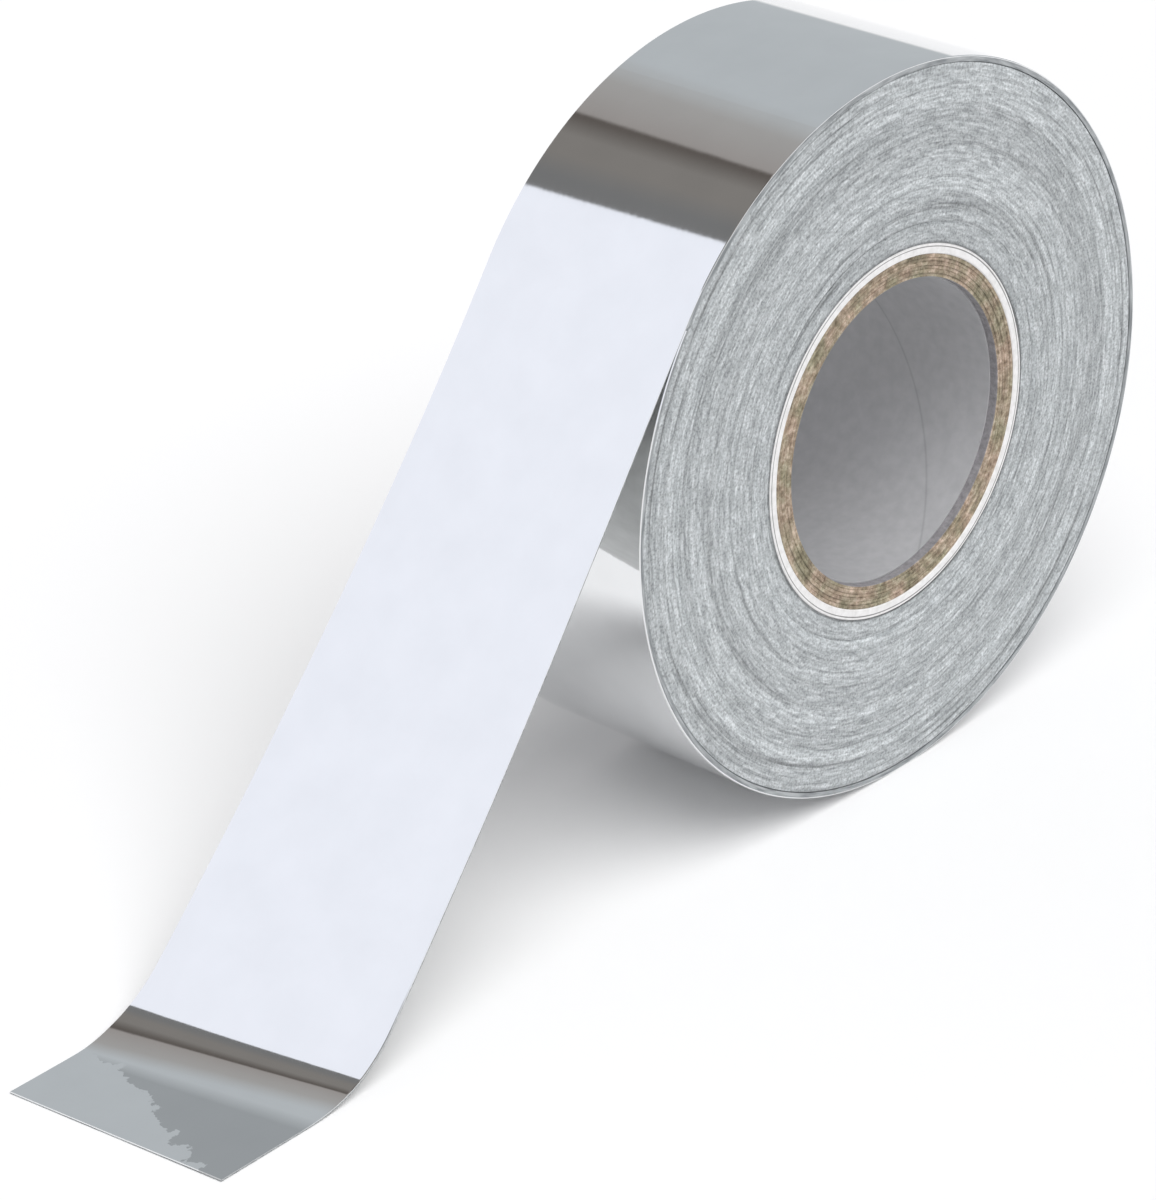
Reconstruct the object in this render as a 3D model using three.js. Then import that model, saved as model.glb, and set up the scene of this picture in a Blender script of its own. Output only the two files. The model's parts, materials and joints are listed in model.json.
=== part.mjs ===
import * as THREE from 'three';

// Roll of foil tape standing on its rim, with a free strip led down to the floor.
// Millimetres. X is the roll's axis, the strip runs towards -Y, Z is up and the floor is z = 0.

// Tape
const TAPE_WIDTH = 50;
const FOIL_THICKNESS = 0.25;
const ADHESIVE_THICKNESS = 0.2;
const TAPE_THICKNESS = FOIL_THICKNESS + ADHESIVE_THICKNESS;

// Roll: the outermost turn laps over its own start, and clears the wound tape so that it can turn
const ROLL_RADIUS = 75;
const RIM_SEGMENTS = 90;
const LAP_GAP = 0.06;
const RUNNING_GAP = 0.3;
const WOUND_RADIUS = ROLL_RADIUS - 2 * TAPE_THICKNESS - LAP_GAP - RUNNING_GAP;

// Core: a grey liner, board plies and a white outer ply; set back is how far an end lies behind the side face
const BORE_RADIUS = 30.9;
const LINER_RADIUS = 31.3;
const BOARD_RADIUS = 36;
const CORE_RADIUS = 38.2;
const LINER_SET_BACK = 2.4;
const BOARD_SET_BACKS = [0.65, 0.5, 0.6, 0.45, 0.55, 0.4];
const OUTER_PLY_SET_BACK = 0.25;

// Wound tape: the side faces step a little in and out, as [outer radius, set back] from the core outwards
const FACE_STEPS = [
  [42.6, 0.3],
  [48.9, 0.1],
  [54.2, 0.22],
  [60.8, 0],
  [67.5, 0.14],
  [WOUND_RADIUS, 0.06],
];

// Free strip: slopes are degrees below the level
const PEEL_DEG = 54;
const RUN_END_DEG = 47;
const BEND_RADIUS = 30;
const FLAT_LENGTH = 18;
const HINGE_GAP = 0.3;
const RUN_SEGMENTS = 16;
const BEND_SEGMENTS = 12;

const rad = THREE.MathUtils.degToRad;
const FLOOR = -ROLL_RADIUS * Math.cos(Math.PI / RIM_SEGMENTS);

// Side view of the strip as (y, z): the way it runs where it slopes down by deg, and the way its foil faces
const along = (deg) => new THREE.Vector2(-Math.cos(rad(deg)), -Math.sin(rad(deg)));
const outward = (deg) => new THREE.Vector2(-Math.sin(rad(deg)), Math.cos(rad(deg)));

// Ring around X turned from a closed profile of [radius, x] points; one facet of its rim is level underneath
function turned(profile) {
  const points = [...profile, profile[0]].map(([radius, x]) => new THREE.Vector2(radius, x));
  const geometry = new THREE.LatheGeometry(points, RIM_SEGMENTS, Math.PI / RIM_SEGMENTS);
  return geometry.rotateZ(-Math.PI / 2);
}

// Tube with square ends
function tube(inner, outer, setBack) {
  const half = TAPE_WIDTH / 2 - setBack;
  return turned([
    [inner, -half],
    [outer, -half],
    [outer, half],
    [inner, half],
  ]);
}

// Wound tape with its stepped side faces
function woundTape() {
  const right = [];
  let inner = CORE_RADIUS;
  FACE_STEPS.forEach(([outer, setBack]) => {
    const x = TAPE_WIDTH / 2 - setBack;
    right.push([inner, x], [outer, x]);
    inner = outer;
  });
  const left = right.map(([radius, x]) => [radius, -x]);
  return turned([...left, ...right.reverse()]);
}

// Layer of tape along a path of foil-face points, between two depths below the foil face
function tapeLayer(path, top, bottom) {
  const face = (depth) => path.map(({ point, deg }) => point.clone().addScaledVector(outward(deg), -depth));
  const shape = new THREE.Shape([...face(top), ...face(bottom).reverse()]);
  const geometry = new THREE.ExtrudeGeometry(shape, { depth: TAPE_WIDTH, bevelEnabled: false });
  geometry.translate(0, 0, -TAPE_WIDTH / 2);
  const [x, y, z] = [new THREE.Vector3(1, 0, 0), new THREE.Vector3(0, 1, 0), new THREE.Vector3(0, 0, 1)];
  return geometry.applyMatrix4(new THREE.Matrix4().makeBasis(y, z, x));
}

// Outermost turn: it starts under the peel line, steps up over itself and ends at the peel line
function outerTurnPath() {
  const rise = TAPE_THICKNESS + LAP_GAP;
  const risingSegments = RIM_SEGMENTS / 5;
  const path = [];
  for (let i = 0; i <= RIM_SEGMENTS; i++) {
    const deg = PEEL_DEG - 360 + (360 * i) / RIM_SEGMENTS;
    const radius = ROLL_RADIUS - rise * Math.max(0, 1 - i / risingSegments);
    path.push({ deg, point: outward(deg).multiplyScalar(radius) });
  }
  return path;
}

// Free strip from the peel line to its end: a slightly sagging run, a bend and a flat end on the floor
function stripPath() {
  const start = outward(PEEL_DEG).multiplyScalar(ROLL_RADIUS);
  const bendDrop = BEND_RADIUS * (1 - Math.cos(rad(RUN_END_DEG)));
  const runDrop = start.y - (FLOOR + TAPE_THICKNESS) - bendDrop;
  const runSlopes = [];
  for (let i = 0; i < RUN_SEGMENTS; i++) {
    runSlopes.push(PEEL_DEG + ((RUN_END_DEG - PEEL_DEG) * (i + 0.5)) / RUN_SEGMENTS);
  }
  const runStep = runDrop / runSlopes.reduce((sum, deg) => sum + Math.sin(rad(deg)), 0);
  const bendStep = 2 * BEND_RADIUS * Math.sin(rad(RUN_END_DEG) / BEND_SEGMENTS / 2);

  const path = [{ deg: PEEL_DEG, point: start }];
  const step = (deg, length) => {
    const point = path[path.length - 1].point.clone().addScaledVector(along(deg), length);
    path.push({ deg, point });
  };
  runSlopes.forEach((deg) => step(deg, runStep));
  for (let i = 0; i < BEND_SEGMENTS; i++) {
    step(RUN_END_DEG * (1 - (i + 0.5) / BEND_SEGMENTS), bendStep);
  }
  step(0, FLAT_LENGTH);

  for (let i = 1; i < path.length - 1; i++) {
    path[i].deg = (path[i].deg + path[i + 1].deg) / 2;
  }
  return path;
}

// Path with its first point moved on by the gap that lets the tape bend there
function afterHinge([first, ...rest]) {
  const point = first.point.clone().addScaledVector(along(first.deg), HINGE_GAP);
  return [{ deg: first.deg, point }, ...rest];
}

const roll = new THREE.Group();

function addMesh(name, geometry, color, metalness, roughness) {
  const mesh = new THREE.Mesh(geometry, new THREE.MeshStandardMaterial({ color, metalness, roughness }));
  mesh.name = name;
  roll.add(mesh);
}

// Foil with the adhesive layer under it
function addTape(name, path) {
  addMesh(`${name}_foil`, tapeLayer(path, 0, FOIL_THICKNESS), 0xb9bfc3, 1, 0.2);
  addMesh(`${name}_adhesive`, tapeLayer(path, FOIL_THICKNESS, TAPE_THICKNESS), 0xd9dcdb, 0, 0.5);
}

addMesh('core_inner_liner', tube(BORE_RADIUS, LINER_RADIUS, LINER_SET_BACK), 0x8a9094, 0.2, 0.5);
const plyThickness = (BOARD_RADIUS - LINER_RADIUS) / BOARD_SET_BACKS.length;
BOARD_SET_BACKS.forEach((setBack, i) => {
  const inner = LINER_RADIUS + i * plyThickness;
  const outer = LINER_RADIUS + (i + 1) * plyThickness;
  addMesh(`core_board_ply_${i + 1}`, tube(inner, outer, setBack), 0xb09a7e, 0, 0.9);
});
addMesh('core_outer_ply', tube(BOARD_RADIUS, CORE_RADIUS, OUTER_PLY_SET_BACK), 0xe9e8e4, 0, 0.8);
addMesh('wound_tape', woundTape(), 0xc3cacc, 0.4, 0.5);

const strip = stripPath();
addTape('outer_turn', outerTurnPath());
addTape('strip_run', afterHinge(strip.slice(0, RUN_SEGMENTS + 1)));
addTape('strip_end', afterHinge(strip.slice(RUN_SEGMENTS)));

// The origin is on the floor, in the middle of the rectangle that the roll and its strip cover
const stripEnd = strip[strip.length - 1].point.x;
roll.position.set(0, -(ROLL_RADIUS + stripEnd) / 2, -FLOOR);

export default roll;
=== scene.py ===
"""Looks of a roll of silver foil tape that stands on its rim, with a free strip down to the floor.

Metres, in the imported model's frame: X is the roll's axis, the strip runs towards -Y, Z is up
and the floor is at z = 0.
"""
import json
import math
import random

import bpy
from mathutils import Matrix, Vector


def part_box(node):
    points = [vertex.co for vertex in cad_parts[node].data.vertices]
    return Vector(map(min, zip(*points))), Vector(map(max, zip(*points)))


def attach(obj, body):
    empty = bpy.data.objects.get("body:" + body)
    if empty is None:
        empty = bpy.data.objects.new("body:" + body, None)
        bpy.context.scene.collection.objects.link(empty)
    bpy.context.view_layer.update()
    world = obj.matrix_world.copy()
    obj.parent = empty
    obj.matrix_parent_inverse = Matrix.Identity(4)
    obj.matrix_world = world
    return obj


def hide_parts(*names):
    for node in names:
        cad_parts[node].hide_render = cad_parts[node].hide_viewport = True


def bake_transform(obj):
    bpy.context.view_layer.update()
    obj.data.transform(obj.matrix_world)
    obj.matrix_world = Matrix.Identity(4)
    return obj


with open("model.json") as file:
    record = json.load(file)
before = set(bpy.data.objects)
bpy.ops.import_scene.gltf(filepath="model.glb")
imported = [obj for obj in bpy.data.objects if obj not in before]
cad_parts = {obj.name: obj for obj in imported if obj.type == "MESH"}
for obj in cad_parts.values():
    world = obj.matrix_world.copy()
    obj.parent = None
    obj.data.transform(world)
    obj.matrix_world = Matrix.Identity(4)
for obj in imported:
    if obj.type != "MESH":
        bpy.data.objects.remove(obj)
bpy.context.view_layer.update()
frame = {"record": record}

MM = 0.001

# Tape
TAPE_WIDTH = 50 * MM
FOIL = 0.25 * MM
TAPE = 0.45 * MM
LAP_GAP = 0.06 * MM
WOUND_GAP = 0.06 * MM
ROUNDING = 0.12 * MM

# Roll; its axis and the wound tape's radius come from the frame
JOINTS = {joint["name"]: joint for joint in frame["record"]["behaviour"]["joints"]}
AXIS = Vector(JOINTS["roll_turn"]["pos_m"])
ROLL_RADIUS = 75 * MM
WOUND_RADIUS = (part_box("wound_tape")[1].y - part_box("wound_tape")[0].y) / 2
CORE_RADIUS = 38.2 * MM
BOARD_RADIUS = 36 * MM
LINER_RADIUS = 31.3 * MM
BORE_RADIUS = 30.9 * MM
PLIES = 6

# Free strip: slopes are degrees below the level
PEEL_DEG = 54
RUN_END_DEG = 47
BEND_RADIUS = 30 * MM
FLAT_LENGTH = 18 * MM

# Slight twist of the free strip: how far its left edge leads where it lands and at its end
LEAD = 6.8 * MM
END_LEAD = 3.1 * MM

# Slight waves in the foil: their share of the ripple, the millimetres per radian along and across
# the strip, and their phase
RIPPLE = 0.05 * MM
RIPPLE_WAVES = [(0.5, 9, 23, 0.0), (0.35, 5.5, -11, 1.7), (0.6, 40, 13, 0.6)]

# Outermost turn: where it starts, where it passes to the piece that leads on to the strip, and
# over how many degrees it steps up over its own start
WRAP_START_DEG = PEEL_DEG - 360
WRAP_END_DEG = 18
RISE_DEG = 72

# How finely the pieces are divided
TAPE_COLUMNS = 28
RING_SEGMENTS = 240
SHARP_DEG = 35


def along(deg):
    """The way the tape runs where it slopes down by deg."""
    return Vector((0, -math.cos(math.radians(deg)), -math.sin(math.radians(deg))))


def outward(deg):
    """The way the foil faces where the tape slopes down by deg."""
    return Vector((0, -math.sin(math.radians(deg)), math.cos(math.radians(deg))))


PEEL = AXIS + outward(PEEL_DEG) * ROLL_RADIUS
BEND_DROP = BEND_RADIUS * (1 - math.cos(math.radians(RUN_END_DEG)))
RUN_DROP = PEEL.z - TAPE - BEND_DROP
RUN_LENGTH = RUN_DROP / math.sin(math.radians((PEEL_DEG + RUN_END_DEG) / 2))
BEND_LENGTH = BEND_RADIUS * math.radians(RUN_END_DEG)
STRIP_LENGTH = RUN_LENGTH + BEND_LENGTH + FLAT_LENGTH
SPLIT = RUN_LENGTH / 2


def smooth_step(t):
    """Rises smoothly from 0 to 1 as t does, and is level outside that."""
    t = min(1.0, max(0.0, t))
    return t * t * (3 - 2 * t)


def strip_slope(s):
    """Slope of the free strip at the distance s from the peel line."""
    if s < RUN_LENGTH:
        return PEEL_DEG + (RUN_END_DEG - PEEL_DEG) * s / RUN_LENGTH
    if s < RUN_LENGTH + BEND_LENGTH:
        return RUN_END_DEG * (1 - (s - RUN_LENGTH) / BEND_LENGTH)
    return 0.0


def strip_path(start, end, step):
    """Places of the free strip between two distances from the peel line, about a step apart.

    A place is (distance, slope, point on the foil face, thickness).
    """
    fine = 0.1 * MM
    tiny = 1e-9
    count = round((end - start) / step)
    path = []
    point = PEEL.copy()
    s = 0.0
    for i in range(count + 1):
        goal = start + (end - start) * i / count
        while s < goal - tiny:
            ds = min(fine, goal - s)
            point = point + along(strip_slope(s + ds / 2)) * ds
            s += ds
        path.append((s, strip_slope(s), point.copy(), TAPE))
    return path


def wrap_path(start, end):
    """Places, as for the strip, of the outermost turn between two slopes, a degree apart.

    Up to the peel line the turn is thick enough to reach down to the wound tape.
    """
    path = []
    for deg in range(start, end + 1):
        lap = max(0.0, 1 - (deg - WRAP_START_DEG) / RISE_DEG)
        radius = ROLL_RADIUS - (TAPE + LAP_GAP) * lap
        thickness = radius - WOUND_RADIUS - WOUND_GAP if deg < PEEL_DEG else TAPE
        distance = math.radians(deg - PEEL_DEG) * ROLL_RADIUS
        path.append((distance, deg, AXIS + outward(deg) * radius, thickness))
    return path


def ripple(s, x):
    """Height of the foil's waves, which grow from nothing at the roll towards the strip's end."""
    waves = 0.0
    for share, length, width, phase in RIPPLE_WAVES:
        waves += share * math.sin(s / (length * MM) + x / (width * MM) + phase)
    return RIPPLE * smooth_step(s / STRIP_LENGTH) * waves


def twist(s):
    """How far the strip's left edge leads its middle at the distance s from the peel line."""
    landing = RUN_LENGTH + 0.75 * BEND_LENGTH
    softness = 0.3

    def steady(distance):
        t = max(0.0, distance / landing)
        return LEAD * (math.hypot(t, softness) - softness) / (math.hypot(1, softness) - softness)

    start = landing - 5 * MM
    ease = smooth_step((s - start) / (STRIP_LENGTH - start))
    return steady(s) - (steady(STRIP_LENGTH) - END_LEAD) * ease


def new_object(name, vertices, faces, material):
    """Mesh object with smooth shading, except over edges where it turns sharply."""
    mesh = bpy.data.meshes.new(name)
    mesh.from_pydata([tuple(v) for v in vertices], [], faces)
    mesh.shade_smooth()
    mesh.set_sharp_from_angle(angle=math.radians(SHARP_DEG))
    mesh.materials.append(material)
    obj = bpy.data.objects.new(name, mesh)
    bpy.context.scene.collection.objects.link(obj)
    return obj


def tape_slab(name, path, top, bottom, material):
    """Layer of tape along a path, between two depths below the foil face, with lengthwise UVs.

    Without a bottom depth the layer reaches down to the underside of the tape.
    """
    columns = TAPE_COLUMNS
    vertices = []
    places = []
    for s, slope, point, thickness in path:
        for depth in (top, bottom or thickness):
            for c in range(columns + 1):
                x = TAPE_WIDTH * (c / columns - 0.5)
                rounding = 0.0
                if depth == 0 and c in (0, columns):
                    rounding = ROUNDING
                elif c in (1, columns - 1):
                    x = math.copysign(TAPE_WIDTH / 2 - ROUNDING, x)
                lift = outward(slope) * (ripple(s, x) - depth - rounding)
                vertices.append(point + lift + Vector((x, twist(s) * 2 * x / TAPE_WIDTH, 0)))
                places.append((s, x))

    # Each row of the path is the top's columns and then the bottom's
    below = columns + 1
    row = 2 * below
    last = len(path) - 1
    faces = []
    for i in range(last):
        a = i * row
        b = a + row
        for c in range(columns):
            faces.append((a + c, b + c, b + c + 1, a + c + 1))
            low_a = a + below + c
            low_b = b + below + c
            faces.append((low_a, low_a + 1, low_b + 1, low_b))
        faces.append((a, a + below, b + below, b))
        faces.append((a + columns, b + columns, b + below + columns, a + below + columns))
    end = last * row
    for c in range(columns):
        faces.append((c, c + 1, below + c + 1, below + c))
        faces.append((end + c, end + below + c, end + below + c + 1, end + c + 1))

    obj = new_object(name, vertices, faces, material)
    layer = obj.data.uv_layers.new(name="tape")
    for loop in obj.data.loops:
        layer.data[loop.index].uv = places[loop.vertex_index]
    return obj


def turned(name, profile, material, wobble=None):
    """Ring around the roll's axis from a closed profile of (radius, x) points."""
    vertices = []
    for i in range(RING_SEGMENTS):
        deg = 360 * i / RING_SEGMENTS
        for radius, x in profile:
            shift = wobble(x, deg) if wobble else 0.0
            vertices.append(AXIS + outward(deg) * radius + Vector((x + shift, 0, 0)))
    n = len(profile)
    faces = []
    for i in range(RING_SEGMENTS):
        a = i * n
        b = ((i + 1) % RING_SEGMENTS) * n
        for j in range(n):
            k = (j + 1) % n
            faces.append((a + j, b + j, b + k, a + k))
    return new_object(name, vertices, faces, material)


# ---------------------------------------------------------------- materials


class Nodes:
    """Small helper that adds nodes to one material or world and joins them."""

    def __init__(self, owner):
        owner.use_nodes = True
        self.tree = owner.node_tree
        self.tree.nodes.clear()

    def add(self, kind, settings=None, **inputs):
        node = self.tree.nodes.new(kind)
        for key, value in (settings or {}).items():
            setattr(node, key, value)
        for key, value in inputs.items():
            self.feed(node, key.replace("_", " "), value)
        return node

    def feed(self, node, key, value):
        """Sets one input, by its name or number, to a value or to another node's output."""
        socket = node.inputs[key]
        if isinstance(value, bpy.types.NodeSocket):
            self.tree.links.new(value, socket)
        else:
            socket.default_value = value

    def math(self, operation, a, b=0.0, c=0.0, clamp=False):
        node = self.add("ShaderNodeMath", {"operation": operation, "use_clamp": clamp})
        for i, value in enumerate((a, b, c)):
            self.feed(node, i, value)
        return node.outputs[0]

    def noise(self, vector, scale, detail=2.0, roughness=0.5):
        node = self.add(
            "ShaderNodeTexNoise", Vector=vector, Scale=scale, Detail=detail, Roughness=roughness
        )
        return node.outputs["Fac"]

    def ramp(self, value, stops):
        """Colour or grey for a value, from (position, colour or grey) stops."""
        node = self.add("ShaderNodeValToRGB", Fac=value)
        ramp = node.color_ramp
        while len(ramp.elements) < len(stops):
            ramp.elements.new(0.5)
        for element, (position, color) in zip(ramp.elements, stops):
            element.position = position
            element.color = (*color, 1) if isinstance(color, tuple) else (color, color, color, 1)
        return node.outputs["Color"]

    def mix(self, factor, a, b, blend="MIX"):
        node = self.add("ShaderNodeMix", {"data_type": "RGBA", "blend_type": blend})
        # Inputs 0, 6 and 7 are the factor and the two colours
        for index, value in ((0, factor), (6, a), (7, b)):
            self.feed(node, index, (*value, 1) if isinstance(value, tuple) else value)
        return node.outputs[2]

    def shade(self, color, tone, amount=1.0):
        """Colour multiplied by a tone."""
        return self.mix(amount, color, tone, "MULTIPLY")

    def bump(self, height, distance, strength):
        node = self.add("ShaderNodeBump", Height=height, Distance=distance, Strength=strength)
        return node.outputs["Normal"]

    def split(self, vector):
        """X, Y and Z of a vector."""
        return self.add("ShaderNodeSeparateXYZ", Vector=vector).outputs

    def surface(self, **inputs):
        shader = self.add("ShaderNodeBsdfPrincipled", **inputs)
        output = self.add("ShaderNodeOutputMaterial")
        self.tree.links.new(shader.outputs[0], output.inputs["Surface"])


def new_material(name):
    material = bpy.data.materials.new(name)
    return material, Nodes(material)


def tape_coordinates(nodes):
    """Place on the flat tape in metres: distance from the peel line, and across it."""
    return nodes.add("ShaderNodeUVMap", {"uv_map": "tape"}).outputs["UV"]


def object_point(nodes):
    """Position relative to the roll's axis, in metres."""
    shift = nodes.add("ShaderNodeVectorMath", {"operation": "SUBTRACT"})
    nodes.feed(shift, 0, nodes.add("ShaderNodeTexCoord").outputs["Object"])
    nodes.feed(shift, 1, tuple(AXIS))
    return shift.outputs[0]


def ring_coordinates(nodes, *around):
    """Radius in millimetres, and one vector for each amount in around.

    Noise on such a vector runs in rings around the axis, and a larger amount breaks them up more.
    """
    _, y, z = nodes.split(object_point(nodes))
    squares = nodes.math("ADD", nodes.math("MULTIPLY", y, y), nodes.math("MULTIPLY", z, z))
    reach = nodes.math("SQRT", squares)
    radius = nodes.math("MULTIPLY", reach, 1 / MM)
    vectors = []
    for amount in around:
        vector = nodes.add("ShaderNodeCombineXYZ", X=radius)
        nodes.feed(vector, "Y", nodes.math("MULTIPLY", nodes.math("DIVIDE", y, reach), amount))
        nodes.feed(vector, "Z", nodes.math("MULTIPLY", nodes.math("DIVIDE", z, reach), amount))
        vectors.append(vector.outputs[0])
    return radius, *vectors


def painted_reflection_mask(nodes, uv):
    """Painted dark reflection near the strip's end, from 0 to 1; one of its edges slants and
    wanders.
    """
    # Millimetres, and how steeply the patch fades per millimetre
    patch_start = STRIP_LENGTH / MM - 20.5
    slant_start = STRIP_LENGTH / MM - 18.5
    slant, offset, wander = -2.0, 17.0, 26.0
    side_fade, start_fade = 1.5, 0.3

    distance, side, _ = nodes.split(uv)
    along_tape = nodes.math("MULTIPLY", distance, 1 / MM)
    across = nodes.math("MULTIPLY", side, 1 / MM)
    noise = nodes.noise(uv, scale=230.0, detail=5.0, roughness=0.6)
    waves = nodes.math("MULTIPLY_ADD", noise, wander, -wander / 2)
    past_slant = nodes.math("SUBTRACT", along_tape, slant_start)
    edge = nodes.math("MULTIPLY_ADD", past_slant, slant, offset)
    beside = nodes.math("ADD", nodes.math("ADD", across, edge), waves)
    below = nodes.math("SUBTRACT", along_tape, patch_start)
    return nodes.math(
        "MULTIPLY",
        nodes.math("MULTIPLY", beside, side_fade, clamp=True),
        nodes.math("MULTIPLY", below, start_fade, clamp=True),
    )


def foil_material():
    """Bright rolled foil, with a painted dark reflection near the strip's end."""
    material, nodes = new_material("foil")
    uv = tape_coordinates(nodes)
    stretch = nodes.add("ShaderNodeMapping", Vector=uv, Scale=(60, 900, 1))
    streaks = nodes.noise(stretch.outputs[0], scale=1.0, detail=3.0)
    cloud = nodes.noise(uv, scale=90.0, detail=3.0)
    color = nodes.ramp(cloud, [(0.3, (0.80, 0.81, 0.82)), (0.7, (0.83, 0.84, 0.85))])
    # Painted dark reflection: the foil's colour is darkened in a patch near the strip's end
    reflection_darkening = 0.33
    patch = nodes.math("MULTIPLY", painted_reflection_mask(nodes, uv), reflection_darkening)
    color = nodes.mix(patch, color, (0.05, 0.05, 0.05))
    rough = nodes.math("MULTIPLY_ADD", streaks, 0.05, 0.02)
    dimples = nodes.noise(uv, scale=260.0)
    height = nodes.math("ADD", nodes.math("MULTIPLY", streaks, 0.25), dimples)
    normal = nodes.bump(height, distance=0.01 * MM, strength=0.3)
    nodes.surface(Base_Color=color, Metallic=1.0, Roughness=rough, Normal=normal)
    return material


def adhesive_material():
    """Pale adhesive under the strip, dark where it is cut and where it is wound."""
    material, nodes = new_material("adhesive")
    uv = tape_coordinates(nodes)
    radius, broken = ring_coordinates(nodes, 8.0)
    cloud = nodes.noise(uv, scale=140.0, detail=4.0, roughness=0.6)
    pale = nodes.ramp(cloud, [(0.3, (0.56, 0.57, 0.56)), (0.7, (0.70, 0.71, 0.70))])
    arcs = nodes.noise(broken, scale=1.8, detail=3.0)
    dark = nodes.ramp(arcs, [(0.35, (0.20, 0.215, 0.225)), (0.65, (0.42, 0.44, 0.45))])

    near = 0.04 * MM
    distance, side, _ = nodes.split(uv)
    across = nodes.math("ABSOLUTE", side)
    cut_side = nodes.math("GREATER_THAN", across, TAPE_WIDTH / 2 - near)
    cut_end = nodes.math("GREATER_THAN", distance, STRIP_LENGTH - near)
    wound = nodes.math("LESS_THAN", radius, (ROLL_RADIUS - FOIL) / MM - 0.02)
    is_dark = nodes.math("MAXIMUM", nodes.math("MAXIMUM", cut_side, cut_end), wound)
    color = nodes.mix(is_dark, pale, dark)
    rough = nodes.math("MULTIPLY_ADD", cloud, 0.25, 0.25)
    normal = nodes.bump(cloud, distance=0.08 * MM, strength=0.5)
    nodes.surface(Base_Color=color, Metallic=0.2, Roughness=rough, Normal=normal)
    return material


def wound_material():
    """Cut edges of the wound turns: unbroken dark lines, short broken arcs, a fine grain, and
    painted shade just outside the core.
    """
    material, nodes = new_material("wound_edges")
    radius, smooth, broken = ring_coordinates(nodes, 1.0, 8.0)
    arcs = nodes.noise(broken, scale=1.7, detail=3.0, roughness=0.6)
    lines = nodes.noise(smooth, scale=0.9, detail=3.0, roughness=0.6)
    bands = nodes.noise(smooth, scale=0.17, detail=1.0)
    grain = nodes.noise(object_point(nodes), scale=1900.0, detail=2.0, roughness=0.6)

    shadow, middle, light = (0.27, 0.285, 0.295), (0.45, 0.475, 0.485), (0.66, 0.685, 0.70)
    body = nodes.ramp(arcs, [(0.25, shadow), (0.5, middle), (0.75, light)])
    dark_lines = nodes.ramp(
        lines, [(0.30, 0.35), (0.40, 0.75), (0.47, 1.0), (0.65, 1.05), (0.75, 1.25)]
    )

    # The dark lines are strongest next to the core and the rim
    inner, width = 38, 36
    place = nodes.math("MULTIPLY_ADD", radius, 1 / width, -inner / width)
    near_edge = nodes.ramp(place, [(0.06, 1.0), (0.25, 0.6), (0.8, 0.6), (0.92, 1.0)])
    color = nodes.shade(body, dark_lines, near_edge)

    color = nodes.shade(color, nodes.ramp(bands, [(0.35, 0.84), (0.65, 1.1)]), 0.8)
    color = nodes.shade(color, nodes.ramp(grain, [(0.3, 0.62), (0.5, 1.0), (0.7, 1.25)]))
    # Painted shade: the face is darkened just outside the core, where its groove falls in shade
    past_core = nodes.math("SUBTRACT", radius, CORE_RADIUS / MM)
    color = nodes.shade(color, nodes.ramp(past_core, [(0.0, 0.45), (0.25, 0.6), (0.5, 1.0)]))
    height = nodes.math("ADD", arcs, nodes.math("MULTIPLY", lines, 1.5))
    normal = nodes.bump(height, distance=0.12 * MM, strength=0.6)
    nodes.surface(Base_Color=color, Metallic=0.15, Roughness=0.5, Normal=normal)
    return material


def board_material():
    """Raw kraft board: mottled brown with pale and dark fibres, and painted grey shade on its wall
    in the bore.
    """
    material, nodes = new_material("kraft_board")
    radius, smooth = ring_coordinates(nodes, 3.0)
    point = object_point(nodes)
    fibre = nodes.noise(point, scale=800.0, detail=4.0, roughness=0.7)
    patch = nodes.noise(point, scale=220.0, detail=3.0)
    layer = nodes.noise(smooth, scale=1.4)

    dark_fibre, kraft, pale_fibre = (0.16, 0.125, 0.09), (0.35, 0.295, 0.23), (0.62, 0.54, 0.46)
    color = nodes.ramp(fibre, [(0.3, dark_fibre), (0.5, kraft), (0.7, pale_fibre)])
    tint = nodes.ramp(patch, [(0.35, (0.74, 0.80, 0.66)), (0.65, (1.22, 1.08, 1.04))])
    color = nodes.shade(color, tint, 0.8)
    color = nodes.shade(color, nodes.ramp(layer, [(0.35, 0.65), (0.65, 1.2)]), 0.6)
    # Painted shade: the board's wall inside the bore is coloured dark grey
    bore_shade = nodes.ramp(fibre, [(0.3, (0.19, 0.18, 0.19)), (0.7, (0.33, 0.32, 0.33))])
    in_bore = nodes.math("LESS_THAN", radius, LINER_RADIUS / MM + 0.1)
    color = nodes.mix(in_bore, color, bore_shade)
    normal = nodes.bump(fibre, distance=0.3 * MM, strength=0.7)
    nodes.surface(Base_Color=color, Roughness=0.9, Normal=normal)
    return material


def white_ply_material():
    """White outer ply, with the thin dark joint of its last wrap."""
    material, nodes = new_material("white_ply")
    radius, smooth = ring_coordinates(nodes, 1.0)
    fibre = nodes.noise(object_point(nodes), scale=700.0, detail=3.0, roughness=0.6)
    color = nodes.ramp(fibre, [(0.3, (0.72, 0.71, 0.70)), (0.6, (0.84, 0.83, 0.83))])
    wander = nodes.math("MULTIPLY_ADD", nodes.noise(smooth, scale=1.2), 0.5, -0.25)
    last_wrap = CORE_RADIUS / MM - 1.2
    place = nodes.math("SUBTRACT", nodes.math("ADD", radius, wander), last_wrap)
    joint = nodes.ramp(place, [(0.38, 1.0), (0.45, 0.3), (0.6, 0.3), (0.67, 1.0)])
    color = nodes.shade(color, joint)
    normal = nodes.bump(fibre, distance=0.1 * MM, strength=0.5)
    nodes.surface(Base_Color=color, Roughness=0.75, Normal=normal)
    return material


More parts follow.
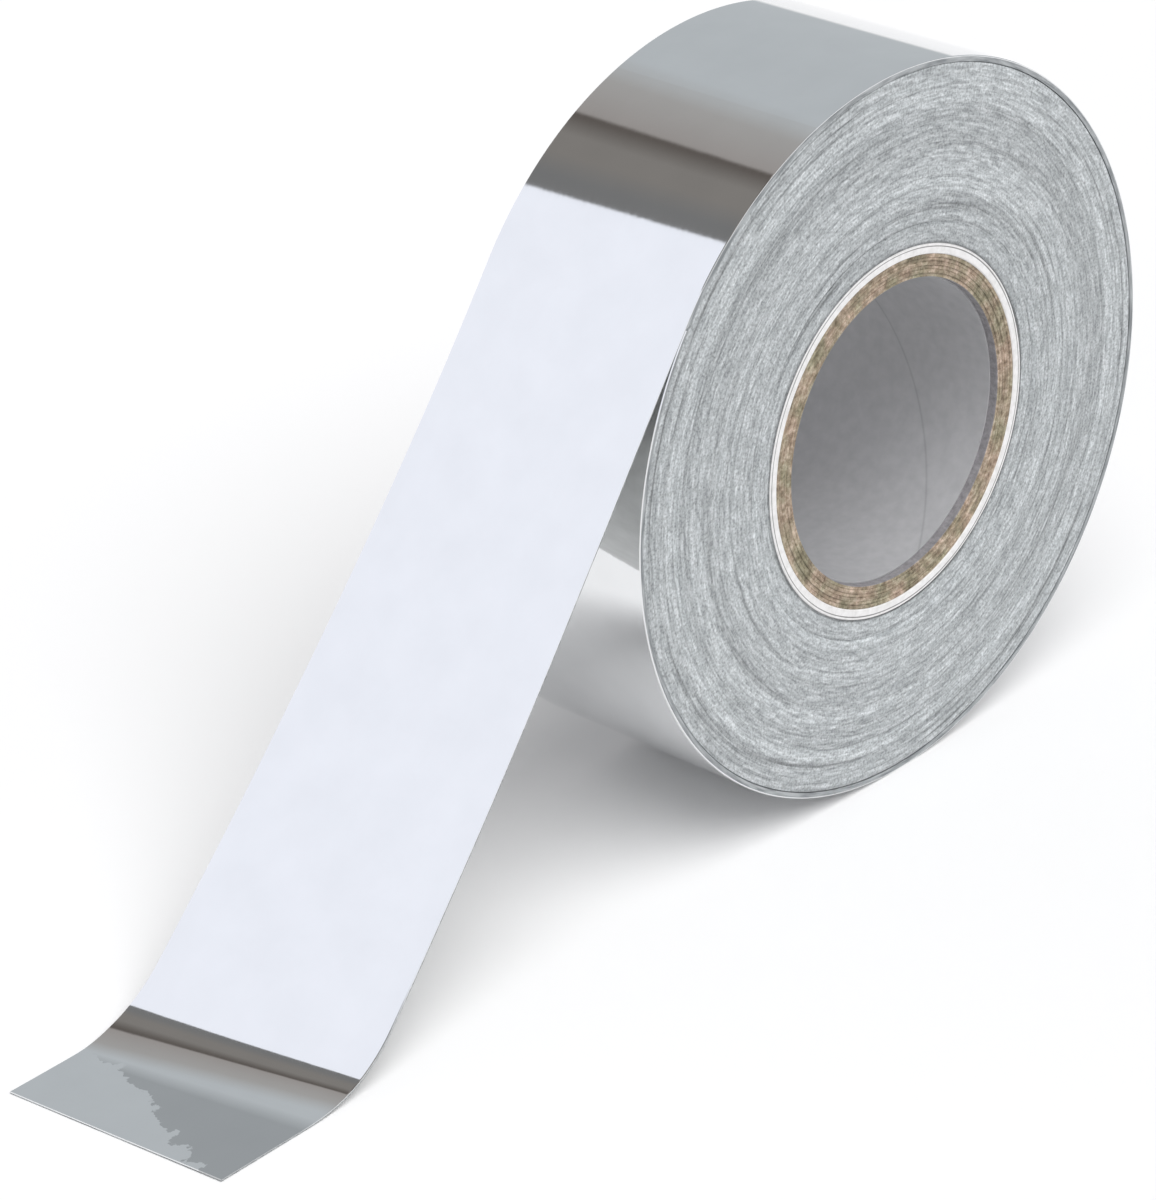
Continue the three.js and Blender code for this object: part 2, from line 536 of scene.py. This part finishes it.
def liner_material():
    """Coated grey paper inside the core, with the helical joints of its winding."""
    material, nodes = new_material("core_liner")
    point = object_point(nodes)
    x, y, z = nodes.split(point)
    pitch = 110 * MM
    turn = nodes.math("DIVIDE", nodes.math("ARCTAN2", z, y), 2 * math.pi)
    helix = nodes.math("FRACT", nodes.math("ADD", turn, nodes.math("MULTIPLY", x, 1 / pitch)))
    seam = nodes.ramp(helix, [(0.0, 0.8), (0.004, 1.0), (0.996, 1.0), (1.0, 0.8)])
    mottle = nodes.noise(point, scale=420.0, detail=3.0)
    color = nodes.ramp(mottle, [(0.3, (0.38, 0.38, 0.39)), (0.7, (0.43, 0.43, 0.44))])
    color = nodes.shade(color, seam)
    normal = nodes.bump(mottle, distance=0.03 * MM, strength=0.2)
    nodes.surface(Base_Color=color, Roughness=0.5, Normal=normal)
    return material


FOIL_FINISH = foil_material()
ADHESIVE_FINISH = adhesive_material()
WOUND_FINISH = wound_material()
BOARD_FINISH = board_material()
WHITE_FINISH = white_ply_material()
LINER_FINISH = liner_material()


# ---------------------------------------------------------------- pieces


def tape_layers(name, path, body, node, joint=None):
    """Foil and adhesive along one stretch. With a joint, given as (other body, start, end), the
    stretch stays in world place and is not put on a body; what the joint holds is not used.
    """
    layers = (("foil", 0.0, FOIL, FOIL_FINISH), ("adhesive", FOIL, None, ADHESIVE_FINISH))
    for layer, top, bottom, material in layers:
        piece = tape_slab(f"{name}_{layer}_skin", path, top, bottom, material)
        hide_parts(f"{node}_{layer}")
        if joint:
            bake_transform(piece)
        else:
            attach(piece, body)


def make_tape():
    """The outermost turn, and the strip in two stretches, each of which reaches across one joint.
    """
    upper_step, lower_step = 1.2 * MM, 0.9 * MM
    before_fold, after_fold, after_peel = 6 * MM, 14 * MM, 14 * MM

    around = wrap_path(WRAP_START_DEG, WRAP_END_DEG)
    tape_layers("wrap", around, "outer_turn", "outer_turn")

    upper = wrap_path(WRAP_END_DEG, PEEL_DEG) + strip_path(0, SPLIT, upper_step)[1:]
    peel = (PEEL, PEEL + along(PEEL_DEG) * after_peel)
    tape_layers("upper", upper, "outer_turn", "strip_run", ("strip_run", *peel))

    lower = strip_path(SPLIT, STRIP_LENGTH, lower_step)
    hinge = Vector(JOINTS["strip_end_bend"]["pos_m"])
    direction = along(RUN_END_DEG)
    fold = (hinge - direction * before_fold, hinge + direction * after_fold)
    tape_layers("lower", lower, "strip_run", "strip_end", ("strip_end", *fold))


def wound_profile():
    """Side faces of the wound tape: every turn stands a little in or out of its neighbours."""
    # How far the face lies back, up to each radius, and what each turn adds to that: millimetres
    steps = [(42.6, 0.3), (48.9, 0.1), (54.2, 0.22), (60.8, 0.02), (67.5, 0.14), (74, 0.06)]
    least, most = -0.02, 0.06
    deep, deep_chance = 0.14, 0.08
    pitch = 0.42 * MM
    rim_clearance = 0.2 * MM
    rim_edge = 0.12 * MM
    rim_depth = 0.3 * MM

    chance = random.Random(7)
    half = TAPE_WIDTH / 2
    right = []
    radius = CORE_RADIUS
    while radius < WOUND_RADIUS - rim_clearance:
        set_back = next(depth for reach, depth in steps if radius < reach * MM)
        jitter = chance.uniform(least, most)
        if chance.random() < deep_chance:
            jitter += deep
        right.append((radius, half - (set_back + jitter) * MM))
        radius += pitch
    right.append((WOUND_RADIUS - rim_edge, half - rim_edge))
    right.append((WOUND_RADIUS, half - rim_depth))
    left = [(radius, -x) for radius, x in right]
    return left + right[::-1]


def make_wound_tape():
    piece = turned("wound_tape_turns", wound_profile(), WOUND_FINISH)
    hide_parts("wound_tape")
    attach(piece, "roll")


def ragged(seed, amount):
    """End of a paper tube: a slow random in-and-out around its edge."""
    chance = random.Random(seed)
    count = 9
    waves = [
        (chance.randint(2, 40), chance.uniform(0, 6.28), chance.uniform(0.3, 1))
        for _ in range(count)
    ]

    def wobble(x, deg):
        angle = math.radians(deg)
        total = sum(size * math.sin(angle * times + phase) for times, phase, size in waves)
        return math.copysign(amount * total / count, -x)

    return wobble


def paper_tube(name, node, inner, outer, bevel, material, seed):
    """Ply of the core, as long as its node but for its ragged ends."""
    unevenness = 0.05 * MM
    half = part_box(node)[1].x - unevenness
    right = [
        (outer, half - bevel),
        (outer - bevel, half),
        (inner + bevel, half),
        (inner, half - bevel),
    ]
    left = [(radius, -x) for radius, x in right]
    profile = left[::-1] + right
    piece = turned(name, profile, material, wobble=ragged(seed, unevenness))
    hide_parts(node)
    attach(piece, "roll")


def make_core():
    """Liner, board plies and white outer ply."""
    paper_tube(
        "liner_paper", "core_inner_liner", BORE_RADIUS, LINER_RADIUS,
        0.05 * MM, LINER_FINISH, 11,
    )
    thickness = (BOARD_RADIUS - LINER_RADIUS) / PLIES
    for i in range(PLIES):
        inner = LINER_RADIUS + i * thickness
        paper_tube(
            f"board_ply_{i + 1}", f"core_board_ply_{i + 1}", inner, inner + thickness,
            0.12 * MM, BOARD_FINISH, 20 + i,
        )
    paper_tube(
        "outer_ply_paper", "core_outer_ply", BOARD_RADIUS, CORE_RADIUS,
        0.2 * MM, WHITE_FINISH, 40,
    )


# ---------------------------------------------------------------- stage


def make_floor():
    """Plain pale floor, just under the roll."""
    material, nodes = new_material("floor")
    cloud = nodes.noise(nodes.add("ShaderNodeTexCoord").outputs["Object"], scale=2.0)
    color = nodes.ramp(cloud, [(0.3, 0.90), (0.7, 0.93)])
    nodes.surface(Base_Color=color, Roughness=0.9, Specular_IOR_Level=0.2)
    size = 12.0
    corners = [(-size, -size, 0), (size, -size, 0), (size, size, 0), (-size, size, 0)]
    floor = new_object("floor", corners, [(0, 1, 2, 3)], material)
    floor.location.z = -0.05 * MM


def make_world():
    """Studio that the foil reflects, the same on both sides: white and dark walls, a grey wall
    that is white at its foot, and a grey ceiling. The light it gives is an even grey."""
    world = bpy.data.worlds.new("studio")
    bpy.context.scene.world = world
    nodes = Nodes(world)
    x, y, z = nodes.split(nodes.add("ShaderNodeTexCoord").outputs["Generated"])
    angle = nodes.math("ARCTAN2", nodes.math("ABSOLUTE", x), nodes.math("MULTIPLY", y, -1.0))
    turn = nodes.math("DIVIDE", angle, math.pi)

    # Walls, in degrees from -Y
    white = (1.0, 1.02, 1.10)
    dark = (0.20, 0.20, 0.20)
    brown = (0.24, 0.225, 0.21)
    line = (0.125, 0.11, 0.10)
    warm = (0.36, 0.335, 0.32)
    pale_warm = (0.41, 0.40, 0.39)
    grey = (0.52, 0.55, 0.57)
    wall_stops = [
        (64.8, white), (65.2, dark), (70, dark), (78, brown), (86, brown), (94, line),
        (95.2, line), (96.4, warm), (112, pale_warm), (122, grey),
    ]
    walls = nodes.ramp(turn, [(degrees / 180, color) for degrees, color in wall_stops])

    # Heights are sines of the elevation; the walls' foot is lower behind the grey wall
    foot_start, foot_end, drop = 0.085, 0.12, 0.085
    drop_stops = [(104, 0.0), (110, drop), (160, drop), (166, 0.0)]
    lower = nodes.ramp(turn, [(degrees / 180, amount) for degrees, amount in drop_stops])
    foot = nodes.ramp(nodes.math("ADD", z, lower), [(foot_start, 0.0), (foot_end, 1.0)])
    room = nodes.mix(foot, (1.0, 1.0, 1.0), walls)
    ceiling = nodes.ramp(z, [(0.89, 0.0), (0.95, 1.0)])
    room = nodes.mix(ceiling, room, (0.58, 0.60, 0.63))

    rays = nodes.add("ShaderNodeLightPath").outputs
    seen = nodes.math("MAXIMUM", rays["Is Camera Ray"], rays["Is Glossy Ray"])
    seen = nodes.math("MAXIMUM", seen, rays["Is Transmission Ray"])
    color = nodes.mix(seen, (0.45, 0.45, 0.46), room)
    background = nodes.add("ShaderNodeBackground", Color=color, Strength=1.0)
    output = nodes.add("ShaderNodeOutputWorld")
    nodes.tree.links.new(background.outputs[0], output.inputs["Surface"])


def soft_sun(name, azimuth, elevation, strength, spread):
    """Soft light that the foil does not mirror. Angles in degrees, azimuth from -Y towards +X."""
    data = bpy.data.lights.new(name, "SUN")
    data.energy = strength
    data.angle = math.radians(spread)
    lamp = bpy.data.objects.new(name, data)
    lamp.rotation_euler = (math.radians(90 - elevation), 0, math.radians(azimuth))
    lamp.visible_glossy = False
    bpy.context.scene.collection.objects.link(lamp)


def make_camera():
    """Camera at the photograph's angle; its place is given in roll radii from the roll's centre."""
    azimuth, elevation, tilt = 43.31, 25.61, -3.32
    right, up, back = -0.592, -0.530, 11.716
    data = bpy.data.cameras.new("camera")
    data.lens = 133.1
    data.clip_start = 0.01
    camera = bpy.data.objects.new("camera", data)
    turn = Matrix.Rotation(math.radians(tilt), 4, "X")
    turn = turn @ Matrix.Rotation(math.radians(azimuth), 4, "Z")
    turn = turn @ Matrix.Rotation(math.radians(90 - elevation), 4, "X")
    offset = Matrix.Translation(Vector((right, up, back)) * ROLL_RADIUS)
    camera.matrix_world = Matrix.Translation(AXIS) @ turn @ offset
    bpy.context.scene.collection.objects.link(camera)
    bpy.context.scene.camera = camera


make_tape()
make_wound_tape()
make_core()
make_floor()
make_world()
soft_sun("key", azimuth=72, elevation=60, strength=2.4, spread=50)
make_camera()

bpy.context.scene.view_settings.view_transform = "Standard"
